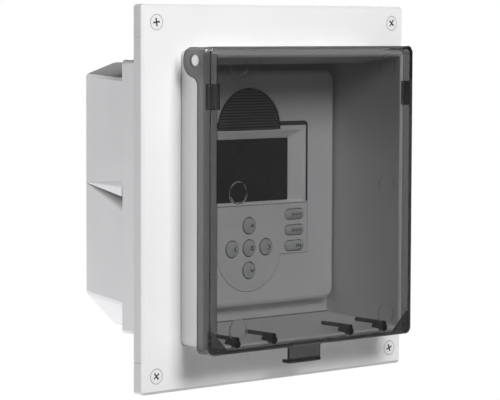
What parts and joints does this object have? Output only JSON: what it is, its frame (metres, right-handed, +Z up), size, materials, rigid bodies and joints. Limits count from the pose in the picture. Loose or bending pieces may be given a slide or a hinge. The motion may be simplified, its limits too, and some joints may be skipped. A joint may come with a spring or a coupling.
{
  "type": "wall keypad enclosure",
  "caption": "Deep recessed wall enclosure around a keypad, with a bevelled trim frame and a smoke-tinted flip-up cap cover that latches at the bottom.",
  "frame": {"origin": "middle of the wall cut-out, on the wall's surface against which the flange rests", "axes": "+Z up, +Y into the wall, +X to the right as seen from the front"},
  "size_m": [0.21, 0.1264, 0.225],
  "materials": {
    "white_pvc": "moulded PVC, white, fine satin grain",
    "foam": "closed-cell foam",
    "painted_screw": "white painted steel",
    "smoke_polycarbonate": "clear smoke tint, polished",
    "housing_abs": "moulded ABS, fine satin grain",
    "dark_plastic": "black moulded grille",
    "dark_lens": "dark gloss window",
    "panel_abs": "moulded ABS, fine satin grain",
    "key_rubber": "grey keys, satin",
    "mat_rubber": "silicone rubber",
    "board": "green solder mask",
    "zinc_screw": "zinc plated",
    "lcd": "display module",
    "sounder_can": "black moulded",
    "terminal_plastic": "green terminal strip",
    "casing_abs": "moulded ABS"
  },
  "bodies": {
    "enclosure": {"wall_box": "white_pvc", "trim_frame": "white_pvc", "trim_gasket": "foam", "trim_screws": "painted_screw", "keypad_housing": "housing_abs", "speaker_grille": "dark_plastic", "display_lens": "dark_lens", "key_panel": "panel_abs", "keymat": "mat_rubber", "circuit_board": "board", "lcd_module": "lcd", "sounder": "sounder_can", "terminal_block": "terminal_plastic", "rear_casing": "casing_abs", "casing_screws": "zinc_screw"},
    "key_up": {"key_up": "key_rubber"},
    "key_left": {"key_left": "key_rubber"},
    "key_centre": {"key_centre": "key_rubber"},
    "key_right": {"key_right": "key_rubber"},
    "key_down": {"key_down": "key_rubber"},
    "key_pill_top": {"key_pill_top": "key_rubber"},
    "key_pill_middle": {"key_pill_middle": "key_rubber"},
    "key_pill_bottom": {"key_pill_bottom": "key_rubber"},
    "cover": {"cover": "smoke_polycarbonate"},
    "latch": {"latch": "smoke_polycarbonate"}
  },
  "joints": [
    {"name": "cover_hinge", "type": "hinge", "parent": "enclosure", "child": "cover", "pos_m": [0, -0.026, 0.0804], "axis": [-1, 0, 0], "range_deg": [0, 100]},
    {"name": "latch_flex", "type": "hinge", "parent": "cover", "child": "latch", "pos_m": [0, -0.0365, -0.0873], "axis": [-1, 0, 0], "range_deg": [0, 6], "stiffness_Nm_per_rad": 0.6},
    {"name": "key_up_press", "type": "slide", "parent": "enclosure", "child": "key_up", "axis": [0, 1, 0], "range_m": [0, 0.0008], "stiffness_N_per_m": 2500},
    {"name": "key_left_press", "type": "slide", "parent": "enclosure", "child": "key_left", "axis": [0, 1, 0], "range_m": [0, 0.0008], "stiffness_N_per_m": 2500},
    {"name": "key_centre_press", "type": "slide", "parent": "enclosure", "child": "key_centre", "axis": [0, 1, 0], "range_m": [0, 0.0008], "stiffness_N_per_m": 2500},
    {"name": "key_right_press", "type": "slide", "parent": "enclosure", "child": "key_right", "axis": [0, 1, 0], "range_m": [0, 0.0008], "stiffness_N_per_m": 2500},
    {"name": "key_down_press", "type": "slide", "parent": "enclosure", "child": "key_down", "axis": [0, 1, 0], "range_m": [0, 0.0008], "stiffness_N_per_m": 2500},
    {"name": "key_pill_top_press", "type": "slide", "parent": "enclosure", "child": "key_pill_top", "axis": [0, 1, 0], "range_m": [0, 0.0008], "stiffness_N_per_m": 2500},
    {"name": "key_pill_middle_press", "type": "slide", "parent": "enclosure", "child": "key_pill_middle", "axis": [0, 1, 0], "range_m": [0, 0.0008], "stiffness_N_per_m": 2500},
    {"name": "key_pill_bottom_press", "type": "slide", "parent": "enclosure", "child": "key_pill_bottom", "axis": [0, 1, 0], "range_m": [0, 0.0008], "stiffness_N_per_m": 2500}
  ]
}
